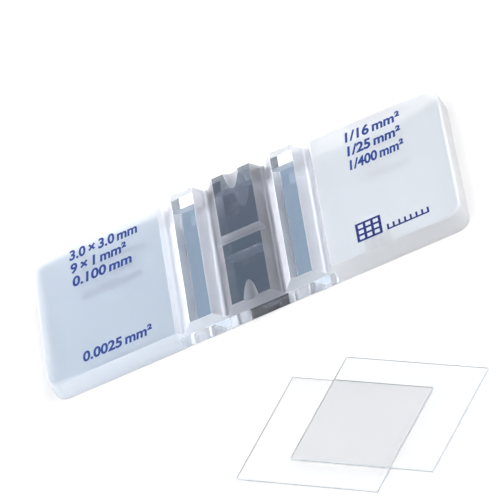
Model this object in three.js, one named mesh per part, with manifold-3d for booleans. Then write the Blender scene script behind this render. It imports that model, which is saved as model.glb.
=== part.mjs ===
// A double counting chamber (hemocytometer): a thick ground-glass slide with two mirrored
// counting platforms, its enamelled legends, and its two loose cover glasses.
// Millimetres, +Z up. The origin is at the centre of the slide's underside, +X runs along
// the slide towards the emblem end, and -Y is the front edge.

import * as THREE from 'three';
import { mergeVertices } from 'three/addons/utils/BufferGeometryUtils.js';
import Module from 'manifold-3d';

// ---- Slide body
const SLIDE_LENGTH = 70;
const SLIDE_WIDTH = 30;
const SUPPORT_HEIGHT = 4.4;
const CHAMBER_DEPTH = 0.1;
const PAD_HEIGHT = 3.5;
const CORNER_RADIUS = 2.2;
const END_EDGE_RADIUS = 0.6;
const ARC_SEGMENTS = 8;

// ---- Ground grooves that run across the slide on each side of the platforms
const INNER_GROOVE_X = 4.9;
const OUTER_GROOVE_X = 12.15;
const GROOVE_FLOOR_HEIGHT = 2.7;
const GROOVE_FLOOR_RADIUS = 0.7;
const GROOVE_WALL_ANGLE = THREE.MathUtils.degToRad(50);

// ---- Cross groove that parts the two counting platforms
const CROSS_GROOVE_HALF_WIDTH = 1.05;
const CROSS_GROOVE_DEPTH = 0.8;
const ROUND_SEGMENTS = 40;

// ---- Loading notch ground into the outer end of each platform
const NOTCH_HALF_WIDTH = 1.25;
const NOTCH_DEPTH = 0.5;
const NOTCH_LENGTH = 4.1;
const NOTCH_CUTTER_LENGTH = 4 * NOTCH_LENGTH;

// ---- Mirror films
const FILM_THICKNESS = 0.02;
const FILM_MARGIN = 0.05;
const FILM_NOTCH_MARGIN = 0.1;

// ---- Enamelled legends: one thin patch for each printed line
const ENAMEL_THICKNESS = 0.02;
const LEGEND_HEIGHT = 2.2;
const DEPTH_END_TEXT_X = -28.6;
const EMBLEM_END_TEXT_X = 18.9;

// ---- Printed emblem and scale bar
const EMBLEM_CENTRE_X = 20.1;
const EMBLEM_CENTRE_Y = -10.2;
const EMBLEM_SIZE = 4.2;
const EMBLEM_CELLS = 3;
const EMBLEM_BAR = 0.42;
const SCALE_BAR_X = 23;
const SCALE_BAR_Y = -12.2;
const SCALE_BAR_LENGTH = 7;
const SCALE_BAR_TICKS = 8;
const SCALE_BAR_STROKE = 0.32;
const SCALE_BAR_TICK_HEIGHT = 1.3;

// ---- Cover glasses, lying in front of the slide with the upper one shifted along and across
const COVERS_X = 8;
const COVERS_Y = -47;
const COVERS_TURN = THREE.MathUtils.degToRad(-35);
const UPPER_COVER_SHIFT_X = 8;
const UPPER_COVER_SHIFT_Y = 4.3;
const COVER_LENGTH = 26;
const COVER_WIDTH = 20;
const COVER_THICKNESS = 0.4;

const film_top = SUPPORT_HEIGHT - CHAMBER_DEPTH;
const platform_height = film_top - FILM_THICKNESS;
const half_length = SLIDE_LENGTH / 2;
const half_width = SLIDE_WIDTH / 2;

const wasm = await Module();
wasm.setup();

// Half the width of a groove where it meets a top face of the given height.
function grooveHalfWidth(top) {
  const arc_x = GROOVE_FLOOR_RADIUS * Math.sin(GROOVE_WALL_ANGLE);
  const arc_z = GROOVE_FLOOR_RADIUS * (1 - Math.cos(GROOVE_WALL_ANGLE));
  return arc_x + (top - GROOVE_FLOOR_HEIGHT - arc_z) / Math.tan(GROOVE_WALL_ANGLE);
}

// Radius of a round groove with the given half width and depth.
function grooveRadius(half, depth) {
  return (half * half + depth * depth) / (2 * depth);
}

function toManifold(geometry) {
  const bare = geometry.clone();
  bare.deleteAttribute('normal');
  bare.deleteAttribute('uv');
  const merged = mergeVertices(bare);
  return new wasm.Manifold(new wasm.Mesh({
    numProp: 3,
    vertProperties: new Float32Array(merged.attributes.position.array),
    triVerts: new Uint32Array(merged.index.array),
  }));
}

function toGeometry(solid) {
  const mesh = solid.getMesh();
  const geometry = new THREE.BufferGeometry();
  geometry.setAttribute('position', new THREE.BufferAttribute(mesh.vertProperties, 3));
  geometry.setIndex(new THREE.BufferAttribute(mesh.triVerts, 1));
  geometry.computeVertexNormals();
  return geometry;
}

// One groove of the cross-section, drawn from its right edge to its left edge.
function drawGroove(shape, x, top_right, top_left) {
  const arc_start = -Math.PI / 2 + GROOVE_WALL_ANGLE;
  const arc_end = -Math.PI / 2 - GROOVE_WALL_ANGLE;
  shape.lineTo(x + grooveHalfWidth(top_right), top_right);
  shape.absarc(x, GROOVE_FLOOR_HEIGHT + GROOVE_FLOOR_RADIUS, GROOVE_FLOOR_RADIUS, arc_start, arc_end, true);
  shape.lineTo(x - grooveHalfWidth(top_left), top_left);
}

// The slide's cross-section in X and Z: pads, supports and platform between four grooves.
function slideProfile() {
  const shape = new THREE.Shape();
  const corner_x = half_length - END_EDGE_RADIUS;
  const corner_z = PAD_HEIGHT - END_EDGE_RADIUS;
  shape.moveTo(-half_length, 0);
  shape.lineTo(half_length, 0);
  shape.absarc(corner_x, corner_z, END_EDGE_RADIUS, 0, Math.PI / 2, false);
  drawGroove(shape, OUTER_GROOVE_X, PAD_HEIGHT, SUPPORT_HEIGHT);
  drawGroove(shape, INNER_GROOVE_X, SUPPORT_HEIGHT, platform_height);
  drawGroove(shape, -INNER_GROOVE_X, platform_height, SUPPORT_HEIGHT);
  drawGroove(shape, -OUTER_GROOVE_X, SUPPORT_HEIGHT, PAD_HEIGHT);
  shape.absarc(-corner_x, corner_z, END_EDGE_RADIUS, Math.PI / 2, Math.PI, false);
  shape.closePath();
  return shape;
}

// The slide's outline seen from above: a rectangle with round corners.
function slideOutline() {
  const x = half_length - CORNER_RADIUS;
  const y = half_width - CORNER_RADIUS;
  const quarter = Math.PI / 2;
  const shape = new THREE.Shape();
  shape.absarc(x, y, CORNER_RADIUS, 0, quarter, false);
  shape.absarc(-x, y, CORNER_RADIUS, quarter, 2 * quarter, false);
  shape.absarc(-x, -y, CORNER_RADIUS, 2 * quarter, 3 * quarter, false);
  shape.absarc(x, -y, CORNER_RADIUS, 3 * quarter, 4 * quarter, false);
  shape.closePath();
  return shape;
}

function extrude(shape, depth, curveSegments = ARC_SEGMENTS) {
  return new THREE.ExtrudeGeometry(shape, { depth, bevelEnabled: false, curveSegments });
}

// The cutter of the cross groove, a cylinder along X from one inner groove to the other.
function crossGrooveCutter() {
  const radius = grooveRadius(CROSS_GROOVE_HALF_WIDTH, CROSS_GROOVE_DEPTH);
  const cutter = new THREE.CylinderGeometry(radius, radius, 2 * INNER_GROOVE_X, ROUND_SEGMENTS);
  cutter.rotateZ(Math.PI / 2);
  cutter.translate(0, 0, film_top - CROSS_GROOVE_DEPTH + radius);
  return toManifold(cutter);
}

// The cutter of one loading notch: a tilted cylinder that runs out to a rounded tip.
// Side is -1 at the front edge and 1 at the rear edge.
function notchCutter(side) {
  const radius = grooveRadius(NOTCH_HALF_WIDTH, NOTCH_DEPTH);
  const tilt = Math.atan2(NOTCH_DEPTH, NOTCH_LENGTH);
  const cutter = new THREE.CylinderGeometry(radius, radius, NOTCH_CUTTER_LENGTH, ROUND_SEGMENTS);
  cutter.translate(0, 0, radius);
  cutter.rotateX(-side * tilt);
  cutter.translate(0, side * (half_width - NOTCH_LENGTH), film_top);
  return toManifold(cutter);
}

function glassSlide() {
  const profile = extrude(slideProfile(), SLIDE_WIDTH);
  profile.rotateX(Math.PI / 2);
  profile.translate(0, half_width, 0);
  let solid = toManifold(profile).intersect(toManifold(extrude(slideOutline(), SUPPORT_HEIGHT)));
  solid = solid.subtract(crossGrooveCutter());
  solid = solid.subtract(notchCutter(-1));
  solid = solid.subtract(notchCutter(1));
  return toGeometry(solid);
}

// Distance from the slide's middle to the platform's long edge.
const platform_half_width = INNER_GROOVE_X - grooveHalfWidth(platform_height);

// The outline of the rear film: the platform's rectangle with a parabolic bay for the notch.
function filmOutline() {
  const x = platform_half_width - FILM_MARGIN;
  const inner_y = CROSS_GROOVE_HALF_WIDTH + FILM_MARGIN;
  const outer_y = half_width - FILM_MARGIN;
  const bay_half_width = NOTCH_HALF_WIDTH + FILM_NOTCH_MARGIN;
  const bay_length = NOTCH_LENGTH + FILM_NOTCH_MARGIN;
  const shape = new THREE.Shape();
  shape.moveTo(-x, inner_y);
  shape.lineTo(x, inner_y);
  shape.lineTo(x, outer_y);
  shape.lineTo(bay_half_width, outer_y);
  shape.quadraticCurveTo(0, outer_y - 2 * bay_length, -bay_half_width, outer_y);
  shape.lineTo(-x, outer_y);
  shape.closePath();
  return shape;
}

// One mirror film. Side is -1 at the front and 1 at the rear.
function mirrorFilm(side) {
  const sheet = extrude(filmOutline(), FILM_THICKNESS, 2 * ARC_SEGMENTS);
  if (side < 0) sheet.rotateZ(Math.PI);
  sheet.translate(0, 0, platform_height);
  return sheet;
}

// A square lattice, the emblem's drawing of a ruled field, joined from its crossing bars.
function latticeEmblem() {
  const pitch = (EMBLEM_SIZE - EMBLEM_BAR) / EMBLEM_CELLS;
  const half_thickness = ENAMEL_THICKNESS / 2;
  const bars = [];
  for (let bar = 0; bar <= EMBLEM_CELLS; bar += 1) {
    const offset = (bar - EMBLEM_CELLS / 2) * pitch;
    const across = new THREE.BoxGeometry(EMBLEM_SIZE, EMBLEM_BAR, ENAMEL_THICKNESS);
    across.translate(0, offset, half_thickness);
    const along = new THREE.BoxGeometry(EMBLEM_BAR, EMBLEM_SIZE, ENAMEL_THICKNESS);
    along.translate(offset, 0, half_thickness);
    bars.push(toManifold(across), toManifold(along));
  }
  return toGeometry(bars.reduce((lattice, bar) => lattice.add(bar)));
}

// A printed scale: a base line with evenly spaced ticks standing on it.
function scaleBar() {
  const pitch = (SCALE_BAR_LENGTH - SCALE_BAR_STROKE) / (SCALE_BAR_TICKS - 1);
  const shape = new THREE.Shape();
  shape.moveTo(0, 0);
  shape.lineTo(SCALE_BAR_LENGTH, 0);
  for (let tick = SCALE_BAR_TICKS - 1; tick >= 0; tick -= 1) {
    const left = tick * pitch;
    shape.lineTo(left + SCALE_BAR_STROKE, tick === SCALE_BAR_TICKS - 1 ? 0 : SCALE_BAR_STROKE);
    shape.lineTo(left + SCALE_BAR_STROKE, SCALE_BAR_TICK_HEIGHT);
    shape.lineTo(left, SCALE_BAR_TICK_HEIGHT);
    if (tick > 0) shape.lineTo(left, SCALE_BAR_STROKE);
  }
  shape.closePath();
  return extrude(shape, ENAMEL_THICKNESS);
}

// A thin enamel patch that holds one printed line, with its lower left corner at the origin.
function legendPatch(length) {
  const patch = new THREE.BoxGeometry(length, LEGEND_HEIGHT, ENAMEL_THICKNESS);
  patch.translate(length / 2, LEGEND_HEIGHT / 2, ENAMEL_THICKNESS / 2);
  return patch;
}

function coverGlass() {
  const sheet = new THREE.BoxGeometry(COVER_LENGTH, COVER_WIDTH, COVER_THICKNESS);
  sheet.translate(0, 0, COVER_THICKNESS / 2);
  return sheet;
}

function clearGlass() {
  return new THREE.MeshStandardMaterial({ color: 0xd9e4ec, roughness: 0.06, metalness: 0 });
}

function mirrorMetal() {
  return new THREE.MeshStandardMaterial({ color: 0x626a7c, roughness: 0.08, metalness: 0.9 });
}

function enamel() {
  return new THREE.MeshStandardMaterial({ color: 0x1b3f96, roughness: 0.35, metalness: 0 });
}

function place(name, geometry, material, x = 0, y = 0, z = 0) {
  const mesh = new THREE.Mesh(geometry, material);
  mesh.name = name;
  mesh.position.set(x, y, z);
  return mesh;
}

// Each printed line: name, left end, baseline and length.
const legends = [
  ['upper_left_legend', DEPTH_END_TEXT_X, 11.3, 11.8],
  ['middle_left_legend', DEPTH_END_TEXT_X, 8.2, 9.6],
  ['depth_legend', DEPTH_END_TEXT_X, 5.1, 10.2],
  ['square_area_legend', DEPTH_END_TEXT_X, -12.6, 11.8],
  ['upper_right_legend', EMBLEM_END_TEXT_X, 11.1, 9.4],
  ['middle_right_legend', EMBLEM_END_TEXT_X, 7.8, 9.1],
  ['lower_right_legend', EMBLEM_END_TEXT_X, 4.5, 9.2],
];

const slide = new THREE.Group();
slide.add(place('glass_slide', glassSlide(), clearGlass()));
slide.add(place('front_mirror_film', mirrorFilm(-1), mirrorMetal()));
slide.add(place('rear_mirror_film', mirrorFilm(1), mirrorMetal()));
for (const [name, x, y, length] of legends) {
  slide.add(place(name, legendPatch(length), enamel(), x, y, PAD_HEIGHT));
}
slide.add(place('grid_emblem', latticeEmblem(), enamel(), EMBLEM_CENTRE_X, EMBLEM_CENTRE_Y, PAD_HEIGHT));
slide.add(place('scale_bar', scaleBar(), enamel(), SCALE_BAR_X, SCALE_BAR_Y, PAD_HEIGHT));

const lower_cover = place('lower_cover_glass', coverGlass(), clearGlass());
const upper_cover = place('upper_cover_glass', coverGlass(), clearGlass());
upper_cover.position.set(UPPER_COVER_SHIFT_X, UPPER_COVER_SHIFT_Y, COVER_THICKNESS);

const covers = new THREE.Group();
covers.position.set(COVERS_X, COVERS_Y, 0);
covers.rotation.z = COVERS_TURN;
covers.add(lower_cover);
covers.add(upper_cover);

const group = new THREE.Group();
group.add(slide);
group.add(covers);

export default group;
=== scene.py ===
import math

import bmesh
import bpy
from mathutils import Matrix, Vector


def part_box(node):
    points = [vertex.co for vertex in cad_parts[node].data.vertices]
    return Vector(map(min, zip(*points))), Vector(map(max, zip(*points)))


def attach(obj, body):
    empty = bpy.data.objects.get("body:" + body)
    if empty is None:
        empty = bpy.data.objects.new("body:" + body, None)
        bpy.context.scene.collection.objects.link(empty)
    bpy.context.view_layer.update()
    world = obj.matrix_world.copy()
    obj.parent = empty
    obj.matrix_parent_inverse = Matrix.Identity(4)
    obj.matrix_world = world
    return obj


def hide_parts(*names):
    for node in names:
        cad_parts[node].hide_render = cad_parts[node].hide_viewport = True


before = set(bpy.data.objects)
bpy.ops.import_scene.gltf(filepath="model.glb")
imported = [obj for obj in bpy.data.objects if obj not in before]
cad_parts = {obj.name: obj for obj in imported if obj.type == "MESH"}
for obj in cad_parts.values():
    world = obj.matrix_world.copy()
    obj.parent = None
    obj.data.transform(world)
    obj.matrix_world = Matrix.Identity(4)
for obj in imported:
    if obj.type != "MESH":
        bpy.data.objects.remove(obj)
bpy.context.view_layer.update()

scene = bpy.context.scene
MM = 0.001

# ---------------------------------------------------------------- sizes taken from the frame
slide_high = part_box("glass_slide")[1]
film_low, film_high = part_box("rear_mirror_film")
pad_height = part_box("depth_legend")[0].z
support_height = slide_high.z
platform_height = film_high.z
half_length = slide_high.x
half_width = slide_high.y
film_half_width = film_high.x

# ---------------------------------------------------------------- ground cross-section
INNER_GROOVE_X = 4.9 * MM
OUTER_GROOVE_X = 12.15 * MM
GROOVE_FLOOR_HEIGHT = 2.7 * MM
GROOVE_FLOOR_RADIUS = 0.7 * MM
GROOVE_WALL_ANGLE = math.radians(50)
CORNER_RADIUS = 2.2 * MM
SOFT_EDGE = 0.5 * MM
ARRIS = 0.07 * MM
CROSS_GROOVE_HALF_WIDTH = 1.05 * MM
CROSS_GROOVE_DEPTH = 0.8 * MM
NOTCH_HALF_WIDTH = 1.25 * MM
NOTCH_DEPTH = 0.5 * MM
NOTCH_LENGTH = 4.1 * MM
CENTRE_BAND_HEIGHT = 2.2 * MM
GROOVE_FLOOR_SEGMENTS = 12
CORNER_SEGMENTS = 14
SOFT_EDGE_SEGMENTS = 4
CUTTER_SEGMENTS = 128
SHARP_ANGLE = math.radians(35)

# ---------------------------------------------------------------- tolerances
TINY = 0.005 * MM  # two heights or lengths closer than this are the same one
WELD = 0.0001 * MM
FLAT = 0.999  # a normal with more than this along an axis looks along it
EXACTLY_FLAT = 0.9999  # as FLAT, but not the nearly level strips of a round cut
LEANING = 0.3  # a normal with more than this along an axis leans that way
UPRIGHT = 0.01  # a face whose normal has less than this along z stands upright
SLANT = 0.001  # the long grooves' faces have less than this along y
SLIVER_AREA = 0.1 * MM * MM  # side faces smaller than this are left whole
SMOOTH_AREA = 2 * MM * MM  # faces smaller than this may belong to a rounded surface

# ---------------------------------------------------------------- films, rulings and prints
FILM_COAT = 0.004 * MM
FILM_BAY_HALF_WIDTH = 1.35 * MM
FILM_BAY_LENGTH = 4.2 * MM
FILM_BAY_STEPS = 24
RULING_CENTRE_Y = 6 * MM
RULING_LINE_WIDTH = 0.005 * MM
RULING_LINE_HEIGHT = 0.004 * MM
CROSSING_LINE_HEIGHT = 0.8 * RULING_LINE_HEIGHT
LARGE_SQUARE = 1 * MM
FIELD = 3 * LARGE_SQUARE
OUTSIDE_PITCH = LARGE_SQUARE / 4
CENTRE_PITCH = LARGE_SQUARE / 20
TRIPLE_PITCH = LARGE_SQUARE / 5
TRIPLE_SPREAD = 0.0125 * MM
PRINT_GAP = 0.001 * MM
COVER_ARRIS = 0.06 * MM

# ---------------------------------------------------------------- camera
VIEW_AZIMUTH = math.radians(14.9)
VIEW_ELEVATION = math.radians(38.6)
VIEW_ROLL = math.radians(-32.7)
VIEW_DISTANCE = 1.095
VIEW_AIM = Vector((-0.19, 0.27, 0)) * MM
LENS = 509.7


def add_camera():
    away = Vector((
        math.sin(VIEW_AZIMUTH) * math.cos(VIEW_ELEVATION),
        -math.cos(VIEW_AZIMUTH) * math.cos(VIEW_ELEVATION),
        math.sin(VIEW_ELEVATION),
    ))
    data = bpy.data.cameras.new("view")
    data.lens = LENS
    data.sensor_width = 36
    data.clip_end = 10
    camera = bpy.data.objects.new("view", data)
    scene.collection.objects.link(camera)
    turn = away.to_track_quat("Z", "Y").to_matrix().to_4x4() @ Matrix.Rotation(VIEW_ROLL, 4, "Z")
    camera.matrix_world = Matrix.Translation(VIEW_AIM + away * VIEW_DISTANCE) @ turn
    scene.camera = camera


# ---------------------------------------------------------------- materials
NOISE_RANGE = (0.3, 0.7)  # nearly all of a noise texture's values lie between these
COLOR_STOPS = (0.35, 0.65)
GLASS_IOR = 1.52


def new_material(name, color, roughness, **values):
    material = bpy.data.materials.new(name)
    material.use_nodes = True
    shader = material.node_tree.nodes["Principled BSDF"]
    shader.inputs["Base Color"].default_value = (*color, 1)
    shader.inputs["Roughness"].default_value = roughness
    for socket, value in values.items():
        shader.inputs[socket.replace("_", " ")].default_value = value
    return material


def add_noise(material, scale, detail=3):
    tree = material.node_tree
    place = tree.nodes.new("ShaderNodeTexCoord")
    noise = tree.nodes.new("ShaderNodeTexNoise")
    noise.inputs["Scale"].default_value = scale
    noise.inputs["Detail"].default_value = detail
    tree.links.new(place.outputs["Object"], noise.inputs["Vector"])
    return noise


def vary_roughness(material, scale, low, high):
    """Lets the roughness drift softly between two limits over the surface."""
    tree = material.node_tree
    noise = add_noise(material, scale)
    spread = tree.nodes.new("ShaderNodeMapRange")
    spread.inputs["From Min"].default_value = NOISE_RANGE[0]
    spread.inputs["From Max"].default_value = NOISE_RANGE[1]
    spread.inputs["To Min"].default_value = low
    spread.inputs["To Max"].default_value = high
    tree.links.new(noise.outputs["Fac"], spread.inputs["Value"])
    tree.links.new(spread.outputs["Result"], tree.nodes["Principled BSDF"].inputs["Roughness"])


def vary_color(material, scale, colors):
    """Lets the base colour drift between two colours over the surface."""
    tree = material.node_tree
    noise = add_noise(material, scale)
    ramp = tree.nodes.new("ShaderNodeValToRGB")
    for element, place, color in zip(ramp.color_ramp.elements, COLOR_STOPS, colors):
        element.position = place
        element.color = (*color, 1)
    tree.links.new(noise.outputs["Fac"], ramp.inputs["Fac"])
    tree.links.new(ramp.outputs["Color"], tree.nodes["Principled BSDF"].inputs["Base Color"])


def add_grain(material, scale, height, strength):
    """Gives the surface a fine bump of the given height."""
    tree = material.node_tree
    noise = add_noise(material, scale, 4)
    bump = tree.nodes.new("ShaderNodeBump")
    bump.inputs["Distance"].default_value = height
    bump.inputs["Strength"].default_value = strength
    tree.links.new(noise.outputs["Fac"], bump.inputs["Height"])
    tree.links.new(bump.outputs["Normal"], tree.nodes["Principled BSDF"].inputs["Normal"])


def polished_glass():
    material = new_material("polished_glass", (1, 1, 1), 0.01, IOR=GLASS_IOR, Transmission_Weight=1)
    vary_roughness(material, 400, 0.004, 0.02)
    return material


def underside_glass():
    material = new_material("bright_underside", (0.88, 0.91, 0.95), 0.01, Metallic=1)
    vary_roughness(material, 300, 0.004, 0.02)
    return material


def satin_glass(side, color, clearness):
    """The even satin of a label pad, its roughness drifting softly between 0.285 and 0.335."""
    name = side + "_satin_glass"
    material = new_material(name, color, 0.3, IOR=GLASS_IOR, Transmission_Weight=clearness)
    vary_roughness(material, 250, 0.285, 0.335)
    add_grain(material, 9000, 0.004 * MM, 0.4)
    return material


def ground_glass():
    """The grainy finish of the notches, the cross groove and the upper front faces. Its dark grey base is
    painted shade, the shaded copy of the grind that lit_ground_glass paints white.
    """
    material = new_material("ground_glass", (0.45, 0.45, 0.49), 0.6, IOR=GLASS_IOR, Transmission_Weight=0.8)
    vary_roughness(material, 900, 0.55, 0.65)
    add_grain(material, 7000, 0.008 * MM, 0.6)
    return material


def groove_glass(side, color, roughness, clearness, gloss):
    """The smooth glossy grind of the long grooves. Its copies differ in base colour and coat only as painted
    shade: darkest on the walls beside the film, mid grey on the support side, lightest in the outer grooves.
    """
    material = new_material(side + "_groove_glass", color, roughness, IOR=GLASS_IOR,
                            Transmission_Weight=clearness, Coat_Weight=gloss, Coat_Roughness=0.15)
    vary_roughness(material, 600, roughness - 0.04, roughness + 0.04)
    add_grain(material, 4000, 0.004 * MM, 0.4)
    return material


def lit_ground_glass():
    """The coarse grind of the ends and the rear. Some light comes through it for real, but its white base,
    brighter than the grey ground glass of the same grind, is painted glow from the backlight.
    """
    material = new_material("lit_ground_glass", (1, 1, 1), 0.9, IOR=GLASS_IOR, Transmission_Weight=0.85)
    vary_roughness(material, 900, 0.85, 0.95)
    add_grain(material, 7000, 0.008 * MM, 0.6)
    return material


def slide_finishes():
    return {
        "polished": polished_glass(),
        "underside": underside_glass(),
        # Painted light: both pads are one satin; the right copy is less clear and warmer to paint the paler
        # tone the light gives the right pad.
        "left_satin": satin_glass("left", (0.92, 0.93, 0.94), 0.82),
        "right_satin": satin_glass("right", (0.93, 0.9, 0.87), 0.6),
        "ground": ground_glass(),
        # Painted shade: the same groove grind, darker and less glossy the nearer it lies to the film.
        "film_shaded_groove": groove_glass("film_shaded", (0.32, 0.31, 0.33), 0.45, 0.75, 0.3),
        "support_wall_shaded_groove": groove_glass("support_wall_shaded", (0.55, 0.52, 0.54), 0.5, 0.8, 0.7),
        "outer_groove": groove_glass("outer", (0.82, 0.79, 0.8), 0.6, 0.8, 1),
        "lit_ground": lit_ground_glass(),
    }


def film_metal(side, *colors):
    """A metal film thin enough to be seen through; its colour drifts between the two given."""
    material = new_material("mirror_film_" + side, colors[0], 0.06, Metallic=1, Alpha=0.47)
    vary_color(material, 160, colors)
    return material


def ruling_line():
    material = new_material("ruling_line", (0.13, 0.14, 0.17), 0.4, IOR=1.5)
    vary_roughness(material, 2000, 0.29, 0.4)
    return material


def enamel(name, color):
    material = new_material(name, color, 0.35, IOR=1.5)
    vary_roughness(material, 1500, 0.3, 0.42)
    add_grain(material, 5000, 0.003 * MM, 0.3)
    return material


def cover_glass():
    material = new_material("cover_glass", (0.99, 0.99, 0.99), 0.01, IOR=GLASS_IOR, Transmission_Weight=1)
    vary_roughness(material, 200, 0.004, 0.015)
    return material


def cut_edge_glass():
    """The pale matt finish of the rims where a cover glass was cut."""
    material = new_material("cut_edge_glass", (0.97, 0.98, 0.98), 0.5, IOR=GLASS_IOR, Transmission_Weight=0.4)
    vary_roughness(material, 700, 0.4, 0.6)
    return material


# ---------------------------------------------------------------- mesh helpers
def make_object(name, bm, *materials):
    """Turns the bmesh into an object of the scene and frees it."""
    mesh = bpy.data.meshes.new(name)
    bm.to_mesh(mesh)
    bm.free()
    made = bpy.data.objects.new(name, mesh)
    scene.collection.objects.link(made)
    for material in materials:
        made.data.materials.append(material)
    return made


def extrude(bm, faces, way):
    """Makes the flat faces into a closed solid, drawn out along the given way."""
    made = bmesh.ops.extrude_face_region(bm, geom=faces)
    moved = [item for item in made["geom"] if isinstance(item, bmesh.types.BMVert)]
    bmesh.ops.translate(bm, verts=moved, vec=way)
    bmesh.ops.recalc_face_normals(bm, faces=bm.faces)


def prism(outline, low, high):
    """A closed upright prism on the given outline, from the low to the high z."""
    bm = bmesh.new()
    face = bm.faces.new([bm.verts.new((x, y, low)) for x, y in outline])
    extrude(bm, [face], (0, 0, high - low))
    return bm


def bevel_edges(bm, test, offset, segments):
    edges = [edge for edge in bm.edges if test(edge.verts[0].co, edge.verts[1].co)]
    bmesh.ops.bevel(bm, geom=edges, offset=offset, offset_type="OFFSET", affect="EDGES",
                    segments=segments, profile=0.5, material=-1)


def near(a, b):
    return abs(a - b) < TINY


# ---------------------------------------------------------------- slide
def groove_half_width(top):
    """From a groove's middle to the edge of a wall that reaches up to the given height."""
    arc_x = GROOVE_FLOOR_RADIUS * math.sin(GROOVE_WALL_ANGLE)
    arc_z = GROOVE_FLOOR_RADIUS * (1 - math.cos(GROOVE_WALL_ANGLE))
    return arc_x + (top - GROOVE_FLOOR_HEIGHT - arc_z) / math.tan(GROOVE_WALL_ANGLE)


# Where the pads begin, past the outer grooves.
pad_start = OUTER_GROOVE_X + groove_half_width(pad_height)


def round_groove_radius(half, depth):
    """The radius of a round cut with the given half width and depth."""
    return (half * half + depth * depth) / (2 * depth)


# The sharp V that becomes a round floor once its edge is bevelled.
groove_apex = GROOVE_FLOOR_HEIGHT + GROOVE_FLOOR_RADIUS - GROOVE_FLOOR_RADIUS / math.cos(GROOVE_WALL_ANGLE)


def slide_profile():
    """The slide's cross-section as x and z, with sharp grooves."""
    grooves = [
        (OUTER_GROOVE_X, pad_height, support_height),
        (INNER_GROOVE_X, support_height, platform_height),
        (-INNER_GROOVE_X, platform_height, support_height),
        (-OUTER_GROOVE_X, support_height, pad_height),
    ]
    points = [(-half_length, 0), (half_length, 0), (half_length, pad_height)]
    for x, top_right, top_left in grooves:
        points.append((x + groove_half_width(top_right), top_right))
        points.append((x, groove_apex))
        points.append((x - groove_half_width(top_left), top_left))
    points.append((-half_length, pad_height))
    return points


def slide_block():
    """The slide before the cross groove and the notches are ground into it."""
    bm = bmesh.new()
    face = bm.faces.new([bm.verts.new((x, -half_width, z)) for x, z in slide_profile()])
    extrude(bm, [face], (0, 2 * half_width, 0))
    floor_tangent = GROOVE_FLOOR_RADIUS * math.tan(GROOVE_WALL_ANGLE)
    bevel_edges(bm, is_groove_bottom, floor_tangent, GROOVE_FLOOR_SEGMENTS)
    bevel_edges(bm, is_upright_corner, CORNER_RADIUS, CORNER_SEGMENTS)
    bevel_edges(bm, is_end_rim, SOFT_EDGE, SOFT_EDGE_SEGMENTS)
    bevel_edges(bm, is_long_edge, ARRIS, 1)
    return bm


def is_groove_bottom(a, b):
    return near(a.z, groove_apex) and near(b.z, groove_apex)


def is_upright_corner(a, b):
    return near(a.x, b.x) and near(a.y, b.y) and near(abs(a.x), half_length)


def is_end_rim(a, b):
    """The top edges round the two ends of the slide."""
    at_end = min(abs(a.x), abs(b.x)) > half_length - CORNER_RADIUS - TINY
    return near(a.z, pad_height) and near(b.z, pad_height) and at_end


def is_long_edge(a, b):
    """The straight edges beside the grooves on the supports and the pads."""
    at_top = near(a.z, b.z) and (near(a.z, support_height) or near(a.z, pad_height))
    return at_top and near(a.x, b.x) and abs(a.x) < half_length - CORNER_RADIUS


def cut(target, cutter_bm):
    """Takes the cutter's shape out of the target for good."""
    cutter = make_object("cutter", cutter_bm)
    modifier = target.modifiers.new("cut", "BOOLEAN")
    modifier.object = cutter
    modifier.operation = "DIFFERENCE"
    modifier.solver = "EXACT"
    bpy.context.view_layer.update()
    graph = bpy.context.evaluated_depsgraph_get()
    result = bpy.data.meshes.new_from_object(target.evaluated_get(graph))
    target.modifiers.remove(modifier)
    target.data = result
    bpy.data.objects.remove(cutter)


def round_cutter(radius, length):
    bm = bmesh.new()
    bmesh.ops.create_cone(bm, cap_ends=True, segments=CUTTER_SEGMENTS, radius1=radius, radius2=radius,
                          depth=length)
    return bm


def cross_groove_cutter():
    radius = round_groove_radius(CROSS_GROOVE_HALF_WIDTH, CROSS_GROOVE_DEPTH)
    bm = round_cutter(radius, 2 * INNER_GROOVE_X)
    bmesh.ops.rotate(bm, verts=bm.verts, matrix=Matrix.Rotation(math.pi / 2, 3, "Y"))
    bmesh.ops.translate(bm, verts=bm.verts, vec=(0, 0, platform_height - CROSS_GROOVE_DEPTH + radius))
    return bm


def notch_cutter(side):
    """A round bar tilted so that the notch gets deeper towards the slide's edge."""
    radius = round_groove_radius(NOTCH_HALF_WIDTH, NOTCH_DEPTH)
    tilt = math.atan2(NOTCH_DEPTH, NOTCH_LENGTH)
    bm = round_cutter(radius, 4 * NOTCH_LENGTH)
    bmesh.ops.rotate(bm, verts=bm.verts, matrix=Matrix.Rotation(math.pi / 2, 3, "X"))
    bmesh.ops.translate(bm, verts=bm.verts, vec=(0, 0, radius))
    bmesh.ops.rotate(bm, verts=bm.verts, matrix=Matrix.Rotation(-side * tilt, 3, "X"))
    notch_end = (0, side * (half_width - NOTCH_LENGTH), platform_height)
    bmesh.ops.translate(bm, verts=bm.verts, vec=notch_end)
    return bm


def split_side_faces(bm):
    """Parts the long side faces into the middle and the pads, and the middle where its grinding ends."""
    for x in (-pad_start, -INNER_GROOVE_X, INNER_GROOVE_X, pad_start):
        sides = [face for face in bm.faces if abs(face.normal.y) > FLAT]
        bmesh.ops.bisect_plane(bm, geom=sides + edges_of(sides), plane_co=(x, 0, 0), plane_no=(1, 0, 0))
    sides = [face for face in bm.faces if abs(face.normal.y) > FLAT and face.calc_area() > SLIVER_AREA
             and abs(face.calc_center_bounds().x) < pad_start]
    level = (0, 0, CENTRE_BAND_HEIGHT)
    bmesh.ops.bisect_plane(bm, geom=sides + edges_of(sides), plane_co=level, plane_no=(0, 0, 1))


def edges_of(faces):
    return list({edge for face in faces for edge in face.edges})


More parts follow.
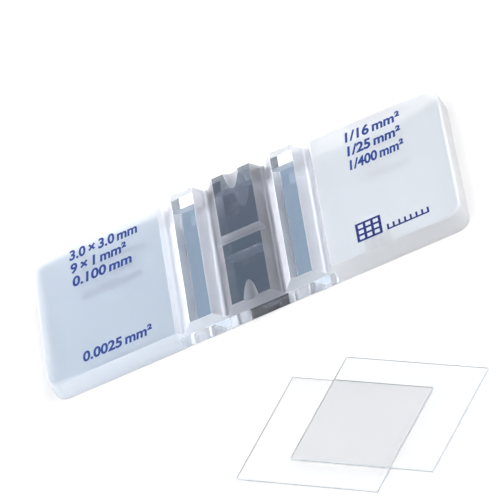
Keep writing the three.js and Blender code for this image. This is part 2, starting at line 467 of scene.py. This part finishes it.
def face_finish(centre, normal):
    """Which finish a face of the slide has, from where it lies and which way it looks."""
    # Each pad gets its own satin copy; the right one's paler tone is painted light.
    satin = "left_satin" if centre.x < 0 else "right_satin"
    upright = abs(normal.z) < UPRIGHT
    if normal.z < -FLAT:
        return "underside"
    if normal.z > FLAT and near(centre.z, pad_height):
        return satin
    if normal.z > FLAT and centre.z > platform_height - TINY:
        return "polished"
    if abs(centre.x) >= pad_start:
        # Painted light: only the left pad's ends and rear get the white lit copy of the grind, so that end
        # looks whiter where the light falls; the right pad's ends stay satin.
        lit = centre.x < 0 and (abs(normal.x) > LEANING or normal.y > LEANING)
        return "lit_ground" if lit else satin
    if upright and centre.z < CENTRE_BAND_HEIGHT:
        return "polished"
    if upright:
        # Painted light and shade: the rear and the supports' upper fronts get the white lit copy, the
        # platform's upper front the grey shaded copy of the same grind.
        return "lit_ground" if normal.y > 0 or abs(centre.x) > INNER_GROOVE_X else "ground"
    # Painted shade: the notches, the cross groove and other faces beside the film get the dark grey copy of
    # the grind.
    if abs(normal.y) > SLANT or abs(centre.x) < film_half_width:
        return "ground"
    # Painted shade: the platform-side halves of the inner grooves get the darkest copy, their support-side
    # halves a mid grey, the outer grooves the lightest.
    if abs(centre.x) < INNER_GROOVE_X:
        return "film_shaded_groove"
    outer = abs(centre.x) > OUTER_GROOVE_X - groove_half_width(support_height) - TINY
    return "outer_groove" if outer else "support_wall_shaded_groove"


def add_slide():
    slide = make_object("glass_body", slide_block())
    cut(slide, cross_groove_cutter())
    for side in (-1, 1):
        cut(slide, notch_cutter(side))
    bm = bmesh.new()
    bm.from_mesh(slide.data)
    bmesh.ops.remove_doubles(bm, verts=bm.verts, dist=WELD)
    split_side_faces(bm)
    bm.to_mesh(slide.data)
    bm.free()
    finishes = slide_finishes()
    order = list(finishes)
    for finish in finishes.values():
        slide.data.materials.append(finish)
    slide.data.set_sharp_from_angle(angle=SHARP_ANGLE)
    for polygon in slide.data.polygons:
        polygon.material_index = order.index(face_finish(polygon.center, polygon.normal))
        along_axis = max(abs(part) for part in polygon.normal) > EXACTLY_FLAT
        polygon.use_smooth = polygon.area < SMOOTH_AREA and not along_axis
    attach(slide, "slide")
    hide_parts("glass_slide")


# ---------------------------------------------------------------- mirror films and their rulings
def film_outline():
    """The rear film from above: the platform's rectangle with a parabolic bay for the notch."""
    x, inner, outer = film_half_width, film_low.y, film_high.y
    points = [(-x, inner), (x, inner), (x, outer)]
    for step in range(FILM_BAY_STEPS + 1):
        along = 1 - 2 * step / FILM_BAY_STEPS
        points.append((FILM_BAY_HALF_WIDTH * along, outer - FILM_BAY_LENGTH * (1 - along * along)))
    points.append((-x, outer))
    return points


def ruling_places():
    """Where the lines of one family cross the field: quarters outside, twentieths and triples inside."""
    places = [step * OUTSIDE_PITCH for step in range(4)]
    places += [LARGE_SQUARE + step * CENTRE_PITCH for step in range(21)]
    places += [LARGE_SQUARE + step * TRIPLE_PITCH + shift
               for step in range(6) for shift in (-TRIPLE_SPREAD, TRIPLE_SPREAD)]
    places += [2 * LARGE_SQUARE + step * OUTSIDE_PITCH for step in range(1, 5)]
    return [place - FIELD / 2 for place in places]


def ruling(centre_y):
    """The two crossing families of lines, as thin bars on the platform."""
    bm = bmesh.new()
    for place in ruling_places():
        for size, spot in (
            ((RULING_LINE_WIDTH, FIELD, RULING_LINE_HEIGHT), (place, centre_y)),
            ((FIELD, RULING_LINE_WIDTH, CROSSING_LINE_HEIGHT), (0, centre_y + place)),
        ):
            made = bmesh.ops.create_cube(bm, size=1)
            bmesh.ops.scale(bm, verts=made["verts"], vec=size)
            bmesh.ops.translate(bm, verts=made["verts"], vec=(*spot, platform_height + size[2] / 2))
    return bm


def add_films():
    metals = (
        film_metal("face", (0.4, 0.44, 0.47), (0.5, 0.44, 0.5)),
        film_metal("back", (0.05, 0.05, 0.06), (0.08, 0.07, 0.09)),
    )
    line = ruling_line()
    for name, side in (("rear", 1), ("front", -1)):
        outline = [(side * x, side * y) for x, y in film_outline()]
        bm = prism(outline, film_low.z, platform_height - FILM_COAT)
        for face in bm.faces:
            face.material_index = 1 if face.normal.z < -FLAT else 0
        film = make_object(f"{name}_film", bm, *metals)
        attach(film, "slide")
        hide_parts(f"{name}_mirror_film")
        lines = make_object(f"{name}_ruling", ruling(side * RULING_CENTRE_Y), line)
        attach(lines, "slide")


# ---------------------------------------------------------------- printed legends
LEGENDS = {
    "upper_left_legend": "3.0 × 3.0 mm",
    "middle_left_legend": "9 × 1 mm²",
    "depth_legend": "0.100 mm",
    "square_area_legend": "0.0025 mm²",
    "upper_right_legend": "1/16 mm²",
    "middle_right_legend": "1/25 mm²",
    "lower_right_legend": "1/400 mm²",
}
# In units of the font's own size.
STROKE_WEIGHT = 0.03
LETTER_SHEAR = 0.12
WORD_SPACE = 0.6
LETTER_WELD = 1e-5
LETTER_RESOLUTION = 5


def text_outline(words):
    """The flat letters of a line as a bmesh, at the font's own size."""
    curve = bpy.data.curves.new("writer", "FONT")
    curve.body = words
    curve.offset = STROKE_WEIGHT
    curve.shear = LETTER_SHEAR
    curve.resolution_u = LETTER_RESOLUTION
    curve.space_word = WORD_SPACE
    writer = bpy.data.objects.new("writer", curve)
    scene.collection.objects.link(writer)
    bpy.context.view_layer.update()
    graph = bpy.context.evaluated_depsgraph_get()
    mesh = bpy.data.meshes.new_from_object(writer.evaluated_get(graph))
    bpy.data.objects.remove(writer)
    bm = bmesh.new()
    bm.from_mesh(mesh)
    bmesh.ops.remove_doubles(bm, verts=bm.verts, dist=LETTER_WELD)
    return bm


def span(bm, axis):
    values = [vert.co[axis] for vert in bm.verts]
    return min(values), max(values)


def add_legend(name, words, ink, letter_height):
    """Writes a line in the box of its enamel patch, its letters as tall as the patch."""
    low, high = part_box(name)
    bm = text_outline(words)
    left, right = span(bm, 0)
    stretch = ((high.x - low.x) / (right - left), (high.y - low.y) / letter_height)
    bmesh.ops.translate(bm, verts=bm.verts, vec=(-left, 0, 0))
    bmesh.ops.scale(bm, verts=bm.verts, vec=(*stretch, 1))
    bmesh.ops.translate(bm, verts=bm.verts, vec=(low.x, low.y, low.z + PRINT_GAP))
    extrude(bm, bm.faces[:], (0, 0, high.z - low.z - PRINT_GAP))
    for face in bm.faces:
        face.smooth = False
    legend = make_object(name + "_print", bm, ink)
    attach(legend, "slide")
    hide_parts(name)


def add_prints():
    blue = enamel("blue_enamel", (0.006, 0.03, 0.19))
    navy = enamel("navy_enamel", (0.001, 0.007, 0.12))
    zero = text_outline("0")
    letter_height = span(zero, 1)[1]
    zero.free()
    for name, words in LEGENDS.items():
        add_legend(name, words, blue, letter_height)
    for name in ("grid_emblem", "scale_bar"):
        bpy.data.objects[name].material_slots[0].material = navy


# ---------------------------------------------------------------- cover glasses
CORNER_DIGITS = 7  # tells a corner's place to a tenth of a micrometre


def add_cover(name, body, *finishes):
    """A thin sheet on the outline of its CAD node, clear on its faces and matt on its cut rims."""
    low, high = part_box(name)
    bm = prism(cover_corners(name), low.z + TINY, high.z - TINY)
    bevel_edges(bm, lambda a, b: True, COVER_ARRIS, 2)
    for face in bm.faces:
        face.material_index = 0 if abs(face.normal.z) > FLAT else 1
    cover = make_object(name.replace("glass", "sheet"), bm, *finishes)
    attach(cover, body)
    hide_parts(name)


def cover_corners(name):
    """The four corners of a cover glass seen from above, in order round its outline."""
    node = bpy.data.objects[name]
    places = [(node.matrix_world @ vert.co).xy for vert in node.data.vertices]
    spots = {tuple(round(part, CORNER_DIGITS) for part in place) for place in places}
    middle = sum((Vector(spot) for spot in spots), Vector((0, 0))) / len(spots)
    return sorted(spots, key=lambda spot: math.atan2(spot[1] - middle.y, spot[0] - middle.x))


def add_covers():
    finishes = (cover_glass(), cut_edge_glass())
    add_cover("lower_cover_glass", "lower_cover", *finishes)
    add_cover("upper_cover_glass", "upper_cover", *finishes)


# ---------------------------------------------------------------- stage
FLOOR_REACH = 3
FLOOR_DROP = 0.1 * MM
SKY_COLOR = (0.62, 0.79, 1, 1)
SKY_STRENGTH = 0.52
LIGHTS = (  # name, place, width, height and power; each looks at the middle of the slide
    ("key_left", (-0.7, -0.3, 1.1), 0.9, 0.9, 9),
    ("key_right", (0.7, -0.2, 1.1), 0.9, 0.9, 9),
    ("front", (-0.25, -0.9, 0.75), 0.6, 0.6, 2.4),
    ("back_left", (-0.8, 0.9, 0.17), 1.2, 0.3, 12),
    ("back_right", (0.65, 0.98, 0.55), 0.8, 0.5, 6),
    ("right", (1.1, 0.3, 0.25), 0.5, 0.3, 3),
)


def add_stage():
    bm = bmesh.new()
    bmesh.ops.create_grid(bm, x_segments=1, y_segments=1, size=FLOOR_REACH)
    bmesh.ops.translate(bm, verts=bm.verts, vec=(0, 0, -FLOOR_DROP))
    floor = make_object("floor", bm, new_material("pale_floor", (0.81, 0.765, 0.725), 0.9))
    world = bpy.data.worlds.new("studio")
    world.use_nodes = True
    background = world.node_tree.nodes["Background"]
    background.inputs["Color"].default_value = SKY_COLOR
    background.inputs["Strength"].default_value = SKY_STRENGTH
    scene.world = world
    for light in LIGHTS:
        add_soft_light(*light)


def add_soft_light(name, place, width, height, power):
    data = bpy.data.lights.new(name, "AREA")
    data.shape = "RECTANGLE"
    data.size = width
    data.size_y = height
    data.energy = power
    light = bpy.data.objects.new(name, data)
    scene.collection.objects.link(light)
    turn = Vector(place).to_track_quat("Z", "Y").to_matrix().to_4x4()
    light.matrix_world = Matrix.Translation(place) @ turn


add_camera()
add_slide()
add_films()
add_prints()
add_covers()
add_stage()
scene.view_settings.view_transform = "Standard"
scene.cycles.blur_glossy = 0
